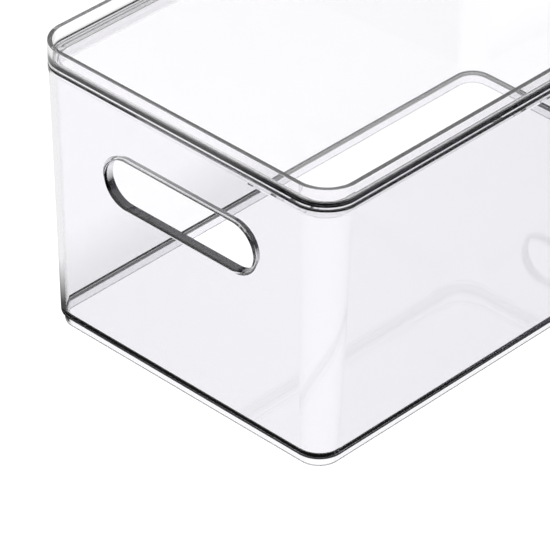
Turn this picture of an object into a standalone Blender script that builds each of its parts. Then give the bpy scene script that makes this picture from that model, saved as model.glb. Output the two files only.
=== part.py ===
"""Clear plastic storage bin with a lift-off tray lid, built as two shells.

Origin is on the ground under the middle of the bin, +Z up, X along the long
sides, so the hand slots face -X and +X.
"""

import math

import bmesh
import bpy
from mathutils import Matrix, Vector

# Overall size, set by the lid, which is flush with the tub's lip.
LENGTH = 0.3340
WIDTH = 0.2000
CORNER_RADIUS = 0.0193
CORNER_STEPS = 14

# Tub heights, from the ground up.
FOOT_HEIGHT = 0.0054
FLOOR_THICKNESS = 0.0024
LIP_BOTTOM = 0.1514
TUB_HEIGHT = 0.1550

# Tub plan insets, each measured in from the flush outline.
LIP_STEP = 0.0004
BASE_INSET = 0.0050
WALL_THICKNESS = 0.0025
FOOT_INSET = 0.0070
FOOT_THICKNESS = 0.0022
FLOOR_FILLET = 0.0012
BASE_FILLET = 0.0008
EDGE_ROUND = 0.0004
SEAM_ROUND = 0.0007

# Hand slot in each end wall, its edge thickened by a bead that tapers into
# the inside of the wall, so that it is blunt enough to lift by.
SLOT_LENGTH = 0.1008
SLOT_HEIGHT = 0.0278
SLOT_CENTRE_Z = 0.1094
BEAD_DEPTH = 0.0033
BEAD_WIDTH = 0.0066
BEAD_CREST = 0.0010
SLOT_OUTER_ROUND = 0.0010
SLOT_INNER_ROUND = 0.0005
SLOT_CLEARANCE = 0.0040
SLOT_STEPS = 16

# Lid, which rests on the lip and drops a locating ring inside it.
SEAT_GAP = 0.0003
LID_HEIGHT = 0.0124
RIM_THICKNESS = 0.0024
PANEL_BOTTOM_Z = 0.1566
PANEL_THICKNESS = 0.0018
PANEL_FILLET = 0.0020
RING_BOTTOM_Z = 0.1490
RING_OUTER_INSET = 0.0045
RING_THICKNESS = 0.0020
RING_TAPER = 0.0003

FILLET_STEPS = 4
ROUND_STEPS = 2
SLOT_ROUND_STEPS = 3


def outline(inset, height):
    """Corner-rounded rectangle, inset from the flush outline, as points."""
    half_length = LENGTH / 2 - inset
    half_width = WIDTH / 2 - inset
    radius = CORNER_RADIUS - inset
    points = []
    for quarter in range(4):
        sign_x = (1, -1, -1, 1)[quarter]
        sign_y = (1, 1, -1, -1)[quarter]
        centre_x = sign_x * (half_length - radius)
        centre_y = sign_y * (half_width - radius)
        for step in range(CORNER_STEPS + 1):
            angle = math.radians(90 * quarter + 90 * step / CORNER_STEPS)
            x = centre_x + radius * math.cos(angle)
            y = centre_y + radius * math.sin(angle)
            points.append(Vector((x, y, height)))
    return points


def arc_section(centre_inset, centre_z, radius, start, end, steps):
    """Section points along an arc; 0 degrees points inwards, 90 points up."""
    section = []
    for step in range(steps + 1):
        angle = math.radians(start + (end - start) * step / steps)
        inset = centre_inset + radius * math.cos(angle)
        height = centre_z + radius * math.sin(angle)
        section.append((inset, height))
    return section


def body_from_rings(name, rings):
    """Closed body lofted through rings of equal count, capped at both ends."""
    mesh = bpy.data.meshes.new(name)
    shell = bmesh.new()
    rows = []
    for ring in rings:
        row = []
        for point in ring:
            row.append(shell.verts.new(point))
        rows.append(row)
    count = len(rows[0])
    for lower, upper in zip(rows[:-1], rows[1:]):
        for index in range(count):
            following = (index + 1) % count
            corners = (lower[index], lower[following], upper[following], upper[index])
            shell.faces.new(corners)
    shell.faces.new(rows[0])
    shell.faces.new(rows[-1])
    bmesh.ops.recalc_face_normals(shell, faces=shell.faces)
    shell.to_mesh(mesh)
    shell.free()
    body = bpy.data.objects.new(name, mesh)
    bpy.context.scene.collection.objects.link(body)
    return body


def body_from_section(name, section):
    """Closed body whose section is carried round the corner-rounded outline."""
    rings = []
    for inset, height in section:
        rings.append(outline(inset, height))
    return body_from_rings(name, rings)


def slot_outline(grow, depth, placing):
    """Pill outline of a hand slot, grown all round, at one depth in the wall."""
    radius = SLOT_HEIGHT / 2 + grow
    reach = (SLOT_LENGTH - SLOT_HEIGHT) / 2
    points = []
    for side in (1, -1):
        for step in range(SLOT_STEPS + 1):
            angle = math.radians(180 * step / SLOT_STEPS) - math.pi / 2
            y = side * (reach + radius * math.cos(angle))
            z = side * radius * math.sin(angle)
            points.append(placing @ Vector((depth, y, z)))
    return points


def edge_stations(face, radius, side):
    """Depth and growth of the cutter where it rounds one edge of the slot."""
    stations = []
    for step in range(SLOT_ROUND_STEPS + 1):
        angle = math.radians(90 * step / SLOT_ROUND_STEPS)
        depth = face + side * radius * (1 - math.sin(angle))
        stations.append((depth, radius * (1 - math.cos(angle))))
    return stations


def slot_body(name, stations, placing):
    """Closed pill-shaped body through stations of depth and growth."""
    rings = []
    for depth, grow in stations:
        rings.append(slot_outline(grow, depth, placing))
    return body_from_rings(name, rings)


def cut_or_join(body, tool, operation, label):
    """Apply one exact boolean and keep the tool out of the finished part."""
    change = body.modifiers.new(label, "BOOLEAN")
    change.operation = operation
    change.solver = "EXACT"
    change.object = tool
    tool.hide_render = True
    tool.display_type = "WIRE"


def clear_plastic(name, tint):
    """Clear rigid plastic with a polished surface."""
    material = bpy.data.materials.new(name)
    material.use_nodes = True
    shader = material.node_tree.nodes["Principled BSDF"]
    shader.inputs["Base Color"].default_value = (tint[0], tint[1], tint[2], 1.0)
    shader.inputs["Roughness"].default_value = 0.03
    shader.inputs["IOR"].default_value = 1.59
    shader.inputs["Transmission Weight"].default_value = 1.0
    return material


def finish(body, material):
    """Give a body its material and smooth it across the rounded corners."""
    body.data.materials.append(material)
    for face in body.data.polygons:
        face.use_smooth = True
    body.data.set_sharp_from_angle(angle=math.radians(35))


for leftover in list(bpy.data.objects):
    bpy.data.objects.remove(leftover, do_unlink=True)

# ---------------------------------------------------------------- tub
# The outer wall leans out from the base to just under the lip.
wall_bottom_z = FOOT_HEIGHT + BASE_FILLET
wall_rise = LIP_BOTTOM - wall_bottom_z
draft = (BASE_INSET - LIP_STEP) / wall_rise
floor_top_z = FOOT_HEIGHT + FLOOR_THICKNESS
inner_wall_z = floor_top_z + FLOOR_FILLET
inner_wall_inset = BASE_INSET + WALL_THICKNESS - draft * (inner_wall_z - wall_bottom_z)
lip_inner_inset = WALL_THICKNESS

tub_section = [
    (FOOT_INSET + FOOT_THICKNESS + EDGE_ROUND, FOOT_HEIGHT),
    (FOOT_INSET + FOOT_THICKNESS, FOOT_HEIGHT - EDGE_ROUND),
    (FOOT_INSET + FOOT_THICKNESS, EDGE_ROUND),
    (FOOT_INSET + FOOT_THICKNESS - EDGE_ROUND, 0.0),
    (FOOT_INSET + EDGE_ROUND, 0.0),
    (FOOT_INSET, EDGE_ROUND),
    (FOOT_INSET, FOOT_HEIGHT),
]
tub_section += arc_section(
    BASE_INSET + BASE_FILLET, wall_bottom_z, BASE_FILLET, 270, 180, FILLET_STEPS
)
tub_section += [
    (LIP_STEP, LIP_BOTTOM),
    (0.0, LIP_BOTTOM + LIP_STEP),
]
tub_section += arc_section(
    SEAM_ROUND, TUB_HEIGHT - SEAM_ROUND, SEAM_ROUND, 180, 90, ROUND_STEPS
)
tub_section += arc_section(
    lip_inner_inset - EDGE_ROUND, TUB_HEIGHT - EDGE_ROUND, EDGE_ROUND, 90, 0, ROUND_STEPS
)
tub_section += arc_section(
    inner_wall_inset + FLOOR_FILLET, inner_wall_z, FLOOR_FILLET, 180, 270, FILLET_STEPS
)
tub = body_from_section("tub", tub_section)

# The hand slots follow the lean of the end walls.
slot_wall_inset = BASE_INSET - draft * (SLOT_CENTRE_Z - wall_bottom_z)
lean = math.atan(draft)
for side, end_name in ((1, "right"), (-1, "left")):
    turn = Matrix.Rotation(math.radians(90 - 90 * side), 4, "Z")
    tilt = Matrix.Rotation(lean, 4, "Y")
    centre = Vector((LENGTH / 2 - slot_wall_inset, 0.0, SLOT_CENTRE_Z))
    placing = turn @ Matrix.Translation(centre) @ tilt
    inner_face = -WALL_THICKNESS - BEAD_DEPTH
    bead_stations = [
        (inner_face, BEAD_CREST),
        (-WALL_THICKNESS, BEAD_WIDTH),
        (-WALL_THICKNESS / 2, BEAD_WIDTH),
    ]
    inner_edge = edge_stations(inner_face, SLOT_INNER_ROUND, 1)
    outer_edge = edge_stations(0.0, SLOT_OUTER_ROUND, -1)
    slot_stations = [(inner_face - SLOT_CLEARANCE, SLOT_INNER_ROUND)]
    slot_stations += reversed(inner_edge)
    slot_stations += outer_edge
    slot_stations += [(SLOT_CLEARANCE, SLOT_OUTER_ROUND)]
    slot_bead = slot_body("slot_bead_" + end_name, bead_stations, placing)
    slot_cutter = slot_body("slot_cutter_" + end_name, slot_stations, placing)
    cut_or_join(tub, slot_bead, "UNION", "bead " + end_name)
    cut_or_join(tub, slot_cutter, "DIFFERENCE", "slot " + end_name)

finish(tub, clear_plastic("tub_plastic", (0.96, 0.96, 0.98)))

# ---------------------------------------------------------------- lid
# One skirt wall carries the panel, with the raised rim above and the seat below.
lid_bottom_z = TUB_HEIGHT + SEAT_GAP
lid_top_z = lid_bottom_z + LID_HEIGHT
panel_top_z = PANEL_BOTTOM_Z + PANEL_THICKNESS
ring_inner_inset = RING_OUTER_INSET + RING_THICKNESS

lid_section = [
    (ring_inner_inset, PANEL_BOTTOM_Z),
    (ring_inner_inset - RING_TAPER, RING_BOTTOM_Z),
    (RING_OUTER_INSET + RING_TAPER + EDGE_ROUND, RING_BOTTOM_Z),
    (RING_OUTER_INSET + RING_TAPER, RING_BOTTOM_Z + EDGE_ROUND),
    (RING_OUTER_INSET, PANEL_BOTTOM_Z),
    (RIM_THICKNESS, PANEL_BOTTOM_Z),
    (RIM_THICKNESS, lid_bottom_z),
]
lid_section += arc_section(
    SEAM_ROUND, lid_bottom_z + SEAM_ROUND, SEAM_ROUND, 270, 180, ROUND_STEPS
)
lid_section += arc_section(
    EDGE_ROUND, lid_top_z - EDGE_ROUND, EDGE_ROUND, 180, 90, ROUND_STEPS
)
lid_section += arc_section(
    RIM_THICKNESS - EDGE_ROUND, lid_top_z - EDGE_ROUND, EDGE_ROUND, 90, 0, ROUND_STEPS
)
lid_section += arc_section(
    RIM_THICKNESS + PANEL_FILLET, panel_top_z + PANEL_FILLET, PANEL_FILLET, 180, 270, FILLET_STEPS
)
lid = body_from_section("lid", lid_section)
finish(lid, clear_plastic("lid_plastic", (0.97, 0.97, 0.98)))
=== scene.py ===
import math

import bmesh
import bpy
from mathutils import Matrix, Vector


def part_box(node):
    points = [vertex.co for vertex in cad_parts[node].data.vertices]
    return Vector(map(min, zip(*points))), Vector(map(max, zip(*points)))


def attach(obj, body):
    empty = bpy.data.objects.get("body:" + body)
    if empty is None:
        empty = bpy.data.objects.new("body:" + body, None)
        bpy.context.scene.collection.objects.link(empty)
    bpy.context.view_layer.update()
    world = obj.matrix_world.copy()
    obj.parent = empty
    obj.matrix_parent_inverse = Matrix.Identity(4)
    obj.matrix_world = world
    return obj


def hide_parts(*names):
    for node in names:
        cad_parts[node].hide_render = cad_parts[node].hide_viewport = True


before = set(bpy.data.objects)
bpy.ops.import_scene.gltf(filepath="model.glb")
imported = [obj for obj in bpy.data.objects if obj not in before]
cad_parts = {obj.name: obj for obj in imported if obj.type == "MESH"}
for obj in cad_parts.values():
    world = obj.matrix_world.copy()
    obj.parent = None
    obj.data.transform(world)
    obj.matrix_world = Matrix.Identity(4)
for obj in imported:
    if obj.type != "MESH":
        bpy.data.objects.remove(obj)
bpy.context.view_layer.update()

tub_low, tub_high = (Vector(corner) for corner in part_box("tub"))
lid_low, lid_high = (Vector(corner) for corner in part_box("lid"))

# ------------------------------------------------------------------ camera
# A long lens looks down on the corner between the end wall and the long side.
eye = Vector((-1.4626, -1.2811, 1.3476))
look = Vector((0.59843, 0.56069, -0.57228)).normalized()
level_right = look.cross(Vector((0, 0, 1))).normalized()
camera_data = bpy.data.cameras.new("camera")
camera_data.sensor_width = 36.0
camera_data.lens = 296.8
camera_data.clip_start = 0.05
camera_data.clip_end = 20.0
camera = bpy.data.objects.new("camera", camera_data)
bpy.context.scene.collection.objects.link(camera)
roll = math.radians(1.08)
right = Matrix.Rotation(roll, 3, -look) @ level_right
up = right.cross(look)
camera.matrix_world = Matrix((
    (right.x, up.x, -look.x, eye.x),
    (right.y, up.y, -look.y, eye.y),
    (right.z, up.z, -look.z, eye.z),
    (0.0, 0.0, 0.0, 1.0),
))
bpy.context.scene.camera = camera

# -------------------------------------------------------------------- room
# A glowing white table in a plain white studio. Rays that have been turned
# inside the plastic see a darker room and a darker table, with light left only
# overhead and along the table's far side.
scene = bpy.context.scene
scene.view_settings.view_transform = "Standard"
scene.cycles.max_bounces = 64
scene.cycles.transmission_bounces = 32
scene.cycles.glossy_bounces = 48
scene.cycles.diffuse_bounces = 2

white = (1.0, 1.0, 1.0, 1.0)
table_glow = 1.2
table_pool_near = 0.30
table_pool_far = 0.65
table_pool_light = 0.07
table_pool_dark = 0.0
table_side_start = 0.10
table_side_end = 0.14
table_side_light = 0.8
sky_glow = 1.2
floor_gap = 0.0003


def turned_inside(nodes, links):
    """1 for a ray that has been reflected at least once, 0 for a straight one."""
    ray = nodes.new("ShaderNodeLightPath")
    turned = nodes.new("ShaderNodeMath")
    turned.operation = "MINIMUM"
    turned.inputs[1].default_value = 1.0
    links.new(ray.outputs["Glossy Depth"], turned.inputs[0])
    return turned.outputs["Value"]


world = bpy.data.worlds.new("studio")
scene.world = world
world.use_nodes = True
nodes = world.node_tree.nodes
links = world.node_tree.links
nodes.clear()
direction = nodes.new("ShaderNodeTexCoord")
height = nodes.new("ShaderNodeSeparateXYZ")
room_light = nodes.new("ShaderNodeValToRGB")
room_light.color_ramp.elements[0].position = 0.30
room_light.color_ramp.elements[0].color = (0.02, 0.02, 0.022, 1.0)
room_light.color_ramp.elements[1].position = 0.56
room_light.color_ramp.elements[1].color = white
sky_tone = nodes.new("ShaderNodeMix")
sky_tone.data_type = "RGBA"
sky_tone.inputs["A"].default_value = white
sky = nodes.new("ShaderNodeBackground")
sky.inputs["Strength"].default_value = sky_glow
sky_out = nodes.new("ShaderNodeOutputWorld")
links.new(direction.outputs["Generated"], height.inputs["Vector"])
links.new(height.outputs["Z"], room_light.inputs["Fac"])
links.new(turned_inside(nodes, links), sky_tone.inputs["Factor"])
links.new(room_light.outputs["Color"], sky_tone.inputs["B"])
links.new(sky_tone.outputs["Result"], sky.inputs["Color"])
links.new(sky.outputs["Background"], sky_out.inputs["Surface"])

floor_mesh = bpy.data.meshes.new("floor")
floor_shape = bmesh.new()
bmesh.ops.create_grid(floor_shape, x_segments=1, y_segments=1, size=6.0)
floor_shape.to_mesh(floor_mesh)
floor_shape.free()
floor = bpy.data.objects.new("floor", floor_mesh)
floor.location = (0, 0, tub_low.z - floor_gap)
scene.collection.objects.link(floor)
table_top = bpy.data.materials.new("white_table")
table_top.use_nodes = True
nodes = table_top.node_tree.nodes
links = table_top.node_tree.links
nodes.clear()
spot = nodes.new("ShaderNodeTexCoord")
reach = nodes.new("ShaderNodeVectorMath")
reach.operation = "LENGTH"
pool = nodes.new("ShaderNodeMapRange")
pool.inputs["From Min"].default_value = table_pool_near
pool.inputs["From Max"].default_value = table_pool_far
pool.inputs["To Min"].default_value = table_pool_light
pool.inputs["To Max"].default_value = table_pool_dark
spot_y = nodes.new("ShaderNodeSeparateXYZ")
side = nodes.new("ShaderNodeMapRange")
side.inputs["From Min"].default_value = table_side_start
side.inputs["From Max"].default_value = table_side_end
side.inputs["To Min"].default_value = 0.0
side.inputs["To Max"].default_value = table_side_light
lit = nodes.new("ShaderNodeMath")
lit.operation = "MAXIMUM"
table_tone = nodes.new("ShaderNodeMix")
table_tone.data_type = "RGBA"
table_tone.inputs["A"].default_value = white
glow = nodes.new("ShaderNodeEmission")
glow.inputs["Strength"].default_value = table_glow
table_out = nodes.new("ShaderNodeOutputMaterial")
links.new(spot.outputs["Object"], reach.inputs[0])
links.new(spot.outputs["Object"], spot_y.inputs["Vector"])
links.new(reach.outputs["Value"], pool.inputs["Value"])
links.new(spot_y.outputs["Y"], side.inputs["Value"])
links.new(side.outputs["Result"], lit.inputs[0])
links.new(pool.outputs["Result"], lit.inputs[1])
links.new(turned_inside(nodes, links), table_tone.inputs["Factor"])
links.new(lit.outputs["Value"], table_tone.inputs["B"])
links.new(table_tone.outputs["Result"], glow.inputs["Color"])
links.new(glow.outputs["Emission"], table_out.inputs["Surface"])
floor_mesh.materials.append(table_top)

# --------------------------------------------------------------------- tub
# The tub is one moulding of clear polystyrene: a floor on a narrow foot ring,
# four walls that lean out to a lip, and a pill-shaped hand slot in each end,
# edged by a small bead on the inside. The lid rests loose on its lip.
corner_radius = 0.0193
foot_height = 0.0054
floor_thickness = 0.0024
lip_bottom = 0.1514
lip_step = 0.0004
base_inset = 0.0050
wall_thickness = 0.0025
foot_inset = 0.0070
foot_thickness = 0.0022
floor_fillet = 0.0012
base_fillet = 0.0008
edge_round = 0.0004
seam_round = 0.0007
tub_height = tub_high.z


def outline(inset, height, steps=40):
    """Corner-rounded rectangle, inset from the flush outline, as points."""
    half_length = tub_high.x - inset
    half_width = tub_high.y - inset
    radius = corner_radius - inset
    points = []
    for quarter in range(4):
        sign_x = (1, -1, -1, 1)[quarter]
        sign_y = (1, 1, -1, -1)[quarter]
        centre_x = sign_x * (half_length - radius)
        centre_y = sign_y * (half_width - radius)
        for step in range(steps + 1):
            angle = math.radians(90 * quarter + 90 * step / steps)
            x = centre_x + radius * math.cos(angle)
            y = centre_y + radius * math.sin(angle)
            points.append(Vector((x, y, height)))
    return points


def rounded(centre_inset, centre_z, radius, start, end, steps=6):
    """Section points along a rounding; 0 degrees points inwards, 90 up."""
    section = []
    for step in range(steps + 1):
        angle = math.radians(start + (end - start) * step / steps)
        inset = centre_inset + radius * math.cos(angle)
        height = centre_z + radius * math.sin(angle)
        section.append((inset, height))
    return section


def moulding_from_rings(name, rings):
    """Closed moulding lofted through rings of points, capped at both ends."""
    mesh = bpy.data.meshes.new(name)
    shell = bmesh.new()
    rows = []
    for ring in rings:
        rows.append([shell.verts.new(point) for point in ring])
    count = len(rows[0])
    for lower, upper in zip(rows[:-1], rows[1:]):
        for index in range(count):
            following = (index + 1) % count
            corners = (lower[index], lower[following], upper[following], upper[index])
            shell.faces.new(corners)
    shell.faces.new(rows[0])
    shell.faces.new(rows[-1])
    bmesh.ops.recalc_face_normals(shell, faces=shell.faces)
    shell.to_mesh(mesh)
    shell.free()
    moulding = bpy.data.objects.new(name, mesh)
    scene.collection.objects.link(moulding)
    return moulding


def slot_outline(grow, depth, placing, steps=28):
    """Pill outline of a hand slot, grown all round, at one depth in the wall."""
    radius = slot_height / 2 + grow
    reach = (slot_length - slot_height) / 2
    points = []
    for side in (1, -1):
        for step in range(steps + 1):
            angle = math.radians(180 * step / steps) - math.pi / 2
            y = side * (reach + radius * math.cos(angle))
            z = side * radius * math.sin(angle)
            points.append(placing @ Vector((depth, y, z)))
    return points


wall_bottom = foot_height + base_fillet
draft = (base_inset - lip_step) / (lip_bottom - wall_bottom)
floor_top = foot_height + floor_thickness
inner_wall_bottom = floor_top + floor_fillet
inner_wall_inset = base_inset + wall_thickness - draft * (inner_wall_bottom - wall_bottom)

tub_section = rounded(
    foot_inset + foot_thickness + edge_round, foot_height - edge_round, edge_round, 90, 180
)
tub_section += rounded(
    foot_inset + foot_thickness - edge_round, edge_round, edge_round, 0, -90
)
tub_section += rounded(foot_inset + edge_round, edge_round, edge_round, 270, 180)
tub_section += [(foot_inset, foot_height)]
tub_section += rounded(base_inset + base_fillet, wall_bottom, base_fillet, 270, 180, 10)
tub_section += [(lip_step, lip_bottom), (0.0, lip_bottom + lip_step)]
tub_section += rounded(seam_round, tub_height - seam_round, seam_round, 180, 90)
tub_section += rounded(
    wall_thickness - edge_round, tub_height - edge_round, edge_round, 90, 0
)
tub_section += rounded(
    inner_wall_inset + floor_fillet, inner_wall_bottom, floor_fillet, 180, 270, 14
)
tub_shell = moulding_from_rings(
    "tub_shell", [outline(inset, height) for inset, height in tub_section]
)

slot_length = 0.1008
slot_height = 0.0278
slot_centre = 0.1094
bead_depth = 0.0033
bead_width = 0.0022
bead_crest = 0.0006
slot_outer_round = 0.0010
slot_inner_round = 0.0005
slot_clear = 0.0040
slot_wall_inset = base_inset - draft * (slot_centre - wall_bottom)


def slot_edge(face, radius, side, steps=6):
    """Depth and growth of the cut where it rounds one edge of the slot."""
    stations = []
    for step in range(steps + 1):
        angle = math.radians(90 * step / steps)
        depth = face + side * radius * (1 - math.sin(angle))
        stations.append((depth, radius * (1 - math.cos(angle))))
    return stations


slot_tools = []
for side, end_name in ((1, "right"), (-1, "left")):
    turn = Matrix.Rotation(math.radians(90 - 90 * side), 4, "Z")
    tilt = Matrix.Rotation(math.atan(draft), 4, "Y")
    centre = Vector((tub_high.x - slot_wall_inset, 0.0, slot_centre))
    placing = turn @ Matrix.Translation(centre) @ tilt
    inner_face = -wall_thickness - bead_depth
    bead_stations = [
        (inner_face, bead_crest),
        (-wall_thickness, bead_width),
        (-wall_thickness / 2, bead_width),
    ]
    cut_stations = [(inner_face - slot_clear, slot_inner_round)]
    cut_stations += reversed(slot_edge(inner_face, slot_inner_round, 1))
    cut_stations += slot_edge(0.0, slot_outer_round, -1)
    cut_stations += [(slot_clear, slot_outer_round)]
    for kind, stations, operation in (
        ("bead", bead_stations, "UNION"),
        ("cut", cut_stations, "DIFFERENCE"),
    ):
        rings = [slot_outline(grow, depth, placing) for depth, grow in stations]
        tool = moulding_from_rings("slot_" + kind + "_" + end_name, rings)
        change = tub_shell.modifiers.new(kind + end_name, "BOOLEAN")
        change.operation = operation
        change.solver = "EXACT"
        change.object = tool
        slot_tools.append(tool)

bpy.context.view_layer.update()
cut_mesh = bpy.data.meshes.new_from_object(
    tub_shell.evaluated_get(bpy.context.evaluated_depsgraph_get())
)
tub_shell.modifiers.clear()
tub_shell.data = cut_mesh
for tool in slot_tools:
    bpy.data.objects.remove(tool, do_unlink=True)


def polished(moulding):
    """Smooth shading that leaves the flat walls optically flat."""
    for face in moulding.data.polygons:
        face.use_smooth = True
    moulding.data.set_sharp_from_angle(angle=math.radians(40))
    even = moulding.modifiers.new("even_shading", "WEIGHTED_NORMAL")
    even.mode = "FACE_AREA"
    even.weight = 100
    even.keep_sharp = True


polished(tub_shell)


def arithmetic(nodes, links, operation, first, second):
    """One arithmetic step in a node tree; each value is a socket or a number."""
    step = nodes.new("ShaderNodeMath")
    step.operation = operation
    for index, value in enumerate((first, second)):
        if isinstance(value, float):
            step.inputs[index].default_value = value
        else:
            links.new(value, step.inputs[index])
    return step.outputs["Value"]


def ranged(nodes, links, value, ends, results):
    """A value run through a range, clamped at both ends."""
    span = nodes.new("ShaderNodeMapRange")
    links.new(value, span.inputs["Value"])
    for name, end in zip(("From Min", "From Max"), ends):
        if isinstance(end, float):
            span.inputs[name].default_value = end
        else:
            links.new(end, span.inputs[name])
    span.inputs["To Min"].default_value = results[0]
    span.inputs["To Max"].default_value = results[1]
    return span.outputs["Result"]


def rounded_reach(nodes, links, first, first_flat, second, second_flat):
    """Distance out from a flat core, so that a rounded outline is one value."""
    joined = nodes.new("ShaderNodeCombineXYZ")
    for name, value, flat in (("X", first, first_flat), ("Y", second, second_flat)):
        size = arithmetic(nodes, links, "ABSOLUTE", value, 0.0)
        past = arithmetic(nodes, links, "SUBTRACT", size, flat)
        links.new(arithmetic(nodes, links, "MAXIMUM", past, 0.0), joined.inputs[name])
    reach = nodes.new("ShaderNodeVectorMath")
    reach.operation = "LENGTH"
    links.new(joined.outputs["Vector"], reach.inputs[0])
    return reach.outputs["Value"]


skirt_tolerance = 0.0006
wall_tolerance = 0.0062
cut_tolerance = 0.0003
handling_scale = 380.0
handling_roughness = 0.03
scuff_height = 0.0012
scuff_roughness = 0.30
flow_scale = 45.0
flow_depth = 0.00002
flow_strength = 0.4
# Near-black colour of the painted shade: dark bands that stand in for the shade at the seam,
# along the base and in the hand slots.
painted_shade_tint = (0.002, 0.002, 0.0024, 1.0)

# The mould's finish and painted shade, shared by both mouldings: painted shade as near-black
# bands along the seam and the base line and on the upward-facing faces of the hand slots, a trace
# of handling, a scuffed foot, and the faint flow of the plastic in the walls.
finish_and_painted_shade = bpy.data.node_groups.new("mould_finish_and_painted_shade", "ShaderNodeTree")
for name, kind, way in (
    ("Tint", "NodeSocketColor", "INPUT"),
    ("Edge Tint", "NodeSocketColor", "INPUT"),
    ("Seam Low", "NodeSocketFloat", "INPUT"),
    ("Seam High", "NodeSocketFloat", "INPUT"),
    ("Seam Fade", "NodeSocketFloat", "INPUT"),
    ("Base Low", "NodeSocketFloat", "INPUT"),
    ("Base High", "NodeSocketFloat", "INPUT"),
    ("Color", "NodeSocketColor", "OUTPUT"),
    ("Roughness", "NodeSocketFloat", "OUTPUT"),
    ("Height", "NodeSocketFloat", "OUTPUT"),
):
    finish_and_painted_shade.interface.new_socket(name, in_out=way, socket_type=kind)
nodes = finish_and_painted_shade.nodes
links = finish_and_painted_shade.links
given = nodes.new("NodeGroupInput")
result = nodes.new("NodeGroupOutput")
place = nodes.new("ShaderNodeTexCoord")
spot_xyz = nodes.new("ShaderNodeSeparateXYZ")
links.new(place.outputs["Object"], spot_xyz.inputs["Vector"])
facing = nodes.new("ShaderNodeSeparateXYZ")
links.new(place.outputs["Normal"], facing.inputs["Vector"])
x, y, z = (spot_xyz.outputs[axis] for axis in ("X", "Y", "Z"))

plan = rounded_reach(
    nodes, links, x, tub_high.x - corner_radius, y, tub_high.y - corner_radius
)
skirt_face = arithmetic(nodes, links, "GREATER_THAN", plan, corner_radius - skirt_tolerance)
wall_face = arithmetic(nodes, links, "GREATER_THAN", plan, corner_radius - wall_tolerance)
# Painted shade band on the lid's outer skirt, just above the seam with the tub, fading upwards.
seam_top = arithmetic(nodes, links, "ADD", given.outputs["Seam High"], given.outputs["Seam Fade"])
seam_fade = ranged(nodes, links, z, (seam_top, given.outputs["Seam High"]), (0.0, 1.0))
seam = arithmetic(nodes, links, "MULTIPLY", seam_fade, seam_fade)
above_seam = arithmetic(nodes, links, "GREATER_THAN", z, given.outputs["Seam Low"])
seam = arithmetic(nodes, links, "MULTIPLY", seam, above_seam)
seam = arithmetic(nodes, links, "MULTIPLY", seam, skirt_face)
# Painted shade band along the base line of the walls.
above_base = arithmetic(nodes, links, "GREATER_THAN", z, given.outputs["Base Low"])
below_base = arithmetic(nodes, links, "LESS_THAN", z, given.outputs["Base High"])
base = arithmetic(nodes, links, "MULTIPLY", above_base, below_base)
base = arithmetic(nodes, links, "MULTIPLY", base, wall_face)
# Painted shade on the cut faces of the hand slots, darker where they face upwards.
slot_z = arithmetic(nodes, links, "SUBTRACT", z, slot_centre)
slot_reach = rounded_reach(nodes, links, y, (slot_length - slot_height) / 2, slot_z, 0.0)
cut_face = arithmetic(nodes, links, "LESS_THAN", slot_reach, slot_height / 2 + cut_tolerance)
upward = ranged(nodes, links, facing.outputs["Z"], (-0.3, 0.3), (0.0, 1.0))
slot_face = arithmetic(nodes, links, "MULTIPLY", cut_face, upward)
# Painted shade: the seam, base and slot-face masks together pick where the near-black tint
# replaces the plastic's tint.
painted_shade_mask = arithmetic(nodes, links, "MAXIMUM", seam, base)
painted_shade_mask = arithmetic(nodes, links, "MAXIMUM", painted_shade_mask, slot_face)
shade = nodes.new("ShaderNodeMix")
shade.data_type = "RGBA"
links.new(painted_shade_mask, shade.inputs["Factor"])
links.new(given.outputs["Tint"], shade.inputs["A"])
links.new(given.outputs["Edge Tint"], shade.inputs["B"])
links.new(shade.outputs["Result"], result.inputs["Color"])

fine = nodes.new("ShaderNodeTexNoise")
fine.inputs["Scale"].default_value = handling_scale
fine.inputs["Detail"].default_value = 3.0
links.new(place.outputs["Object"], fine.inputs["Vector"])
handled = ranged(nodes, links, fine.outputs["Fac"], (0.50, 0.80), (0.0, handling_roughness))
scuffed = ranged(nodes, links, z, (scuff_height, 0.0), (0.0, scuff_roughness))
links.new(arithmetic(nodes, links, "ADD", handled, scuffed), result.inputs["Roughness"])
flow = nodes.new("ShaderNodeTexNoise")
flow.inputs["Scale"].default_value = flow_scale
flow.inputs["Detail"].default_value = 1.0
links.new(place.outputs["Object"], flow.inputs["Vector"])
links.new(flow.outputs["Fac"], result.inputs["Height"])


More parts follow.
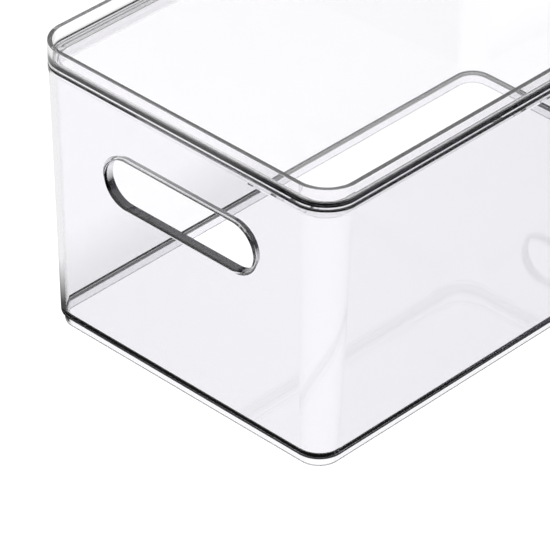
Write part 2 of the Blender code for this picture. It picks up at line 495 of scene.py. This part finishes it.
def clear_plastic(name, tint, haze, seam_shade_band, base_shade_band):
    """Clear polystyrene with a polished mould finish and painted shade bands in its colour."""
    plastic = bpy.data.materials.new(name)
    plastic.use_nodes = True
    nodes = plastic.node_tree.nodes
    links = plastic.node_tree.links
    shader = nodes["Principled BSDF"]
    surface = nodes.new("ShaderNodeGroup")
    surface.node_tree = finish_and_painted_shade
    surface.inputs["Tint"].default_value = (tint[0], tint[1], tint[2], 1.0)
    surface.inputs["Edge Tint"].default_value = painted_shade_tint
    surface.inputs["Seam Low"].default_value = seam_shade_band[0]
    surface.inputs["Seam High"].default_value = seam_shade_band[1]
    surface.inputs["Seam Fade"].default_value = seam_shade_band[2]
    surface.inputs["Base Low"].default_value = base_shade_band[0]
    surface.inputs["Base High"].default_value = base_shade_band[1]
    links.new(surface.outputs["Color"], shader.inputs["Base Color"])
    links.new(surface.outputs["Roughness"], shader.inputs["Roughness"])
    ripple = nodes.new("ShaderNodeBump")
    ripple.inputs["Strength"].default_value = flow_strength
    ripple.inputs["Distance"].default_value = flow_depth
    links.new(surface.outputs["Height"], ripple.inputs["Height"])
    links.new(ripple.outputs["Normal"], shader.inputs["Normal"])
    shader.inputs["IOR"].default_value = 1.59
    shader.inputs["Transmission Weight"].default_value = 1.0
    depth = nodes.new("ShaderNodeVolumeAbsorption")
    depth.inputs["Color"].default_value = (0.0, 0.0, 0.05, 1.0)
    depth.inputs["Density"].default_value = haze
    links.new(depth.outputs["Volume"], nodes["Material Output"].inputs["Volume"])
    return plastic


plastic_haze = 12.0
# The tub gets no seam band; a painted shade band runs along the base of its walls.
no_seam_shade = (1.0, 1.0, 0.001)
base_shade_band = (0.0053, 0.0072)
tub_tint = (0.97, 0.965, 0.985)
tub_plastic = clear_plastic("clear_tub_plastic", tub_tint, plastic_haze, no_seam_shade, base_shade_band)
tub_shell.data.materials.clear()
tub_shell.data.materials.append(tub_plastic)
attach(tub_shell, "tub")
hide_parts("tub")

# --------------------------------------------------------------------- lid
# The lid is a second clear moulding: a sunk panel in a raised rim, a skirt
# that sits on the tub's lip, and a tapered ring that drops inside the lip.
seat_gap = 0.0003
lid_bottom = tub_height + seat_gap
lid_top = lid_high.z
rim_thickness = 0.0024
panel_bottom = 0.1566
panel_thickness = 0.0018
panel_top = panel_bottom + panel_thickness
panel_fillet = 0.0020
ring_bottom = lid_low.z
ring_outer = 0.0045
ring_thickness = 0.0020
ring_inner = ring_outer + ring_thickness
ring_taper = 0.0003

lid_section = [
    (ring_inner, panel_bottom),
    (ring_inner - ring_taper, ring_bottom),
    (ring_outer + ring_taper + edge_round, ring_bottom),
    (ring_outer + ring_taper, ring_bottom + edge_round),
    (ring_outer, panel_bottom),
    (rim_thickness, panel_bottom),
    (rim_thickness, lid_bottom),
]
lid_section += rounded(seam_round, lid_bottom + seam_round, seam_round, 270, 180)
lid_section += rounded(edge_round, lid_top - edge_round, edge_round, 180, 90)
lid_section += rounded(rim_thickness - edge_round, lid_top - edge_round, edge_round, 90, 0)
lid_section += rounded(
    rim_thickness + panel_fillet, panel_top + panel_fillet, panel_fillet, 180, 270, 14
)
lid_shell = moulding_from_rings(
    "lid_shell", [outline(inset, height) for inset, height in lid_section]
)
polished(lid_shell)
# Painted shade band on the lid's outer skirt, just above the seam with the tub.
seam_shade_band = (0.1579, 0.1592, 0.0022)
# Painted shade band along the bottom edge of the lid's skirt, where it sits on the tub's lip.
skirt_shade_band = (0.1552, 0.1557)
lid_tint = (0.995, 0.99, 1.0)
lid_plastic = clear_plastic("clear_lid_plastic", lid_tint, plastic_haze, seam_shade_band, skirt_shade_band)
lid_shell.data.materials.append(lid_plastic)
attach(lid_shell, "lid")
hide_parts("lid")
